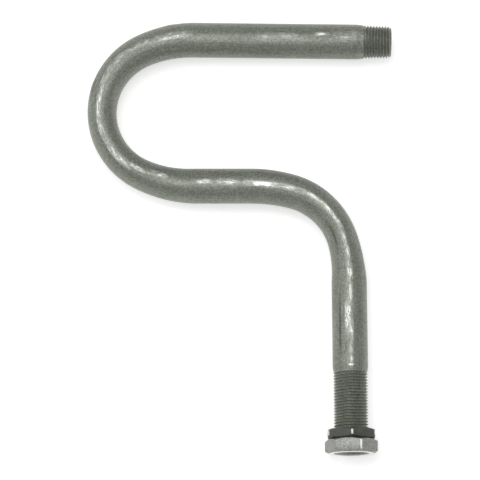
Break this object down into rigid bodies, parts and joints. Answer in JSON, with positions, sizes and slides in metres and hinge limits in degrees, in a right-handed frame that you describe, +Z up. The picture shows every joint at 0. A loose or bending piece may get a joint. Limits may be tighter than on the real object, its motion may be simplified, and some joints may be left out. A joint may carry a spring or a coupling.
{
  "type": "pressure gauge siphon",
  "caption": "Bent steel pipe with a half-turn bend, a taper-threaded inlet and a long-threaded gauge leg with a lock nut and an end nut.",
  "frame": {"origin": "centre of the inlet end, on the pipe's axis", "axes": "+X out of the inlet thread along the inlet run; the pipe's axis lies in the XY plane, with the gauge leg pointing almost to -Y; +Z up from the surface that the siphon lies on"},
  "size_m": [0.1878, 0.2682, 0.033],
  "materials": {
    "pipe_steel": "dull grey pickled pipe with worn bright streaks",
    "blackened_steel": "blackened, satin",
    "bright_steel": "bright machined"
  },
  "bodies": {
    "tube": {"siphon_tube": "pipe_steel"},
    "lock_nut": {"lock_nut": "blackened_steel"},
    "end_nut": {"end_nut": "bright_steel"}
  },
  "joints": [
    {"name": "lock_nut_travel", "type": "slide", "parent": "tube", "child": "lock_nut", "axis": [-0.0192, 0.9998, 0], "range_m": [0, 0.03447]},
    {"name": "end_nut_travel", "type": "slide", "parent": "tube", "child": "end_nut", "axis": [0.0192, -0.9998, 0], "range_m": [0, 0.00726]}
  ]
}
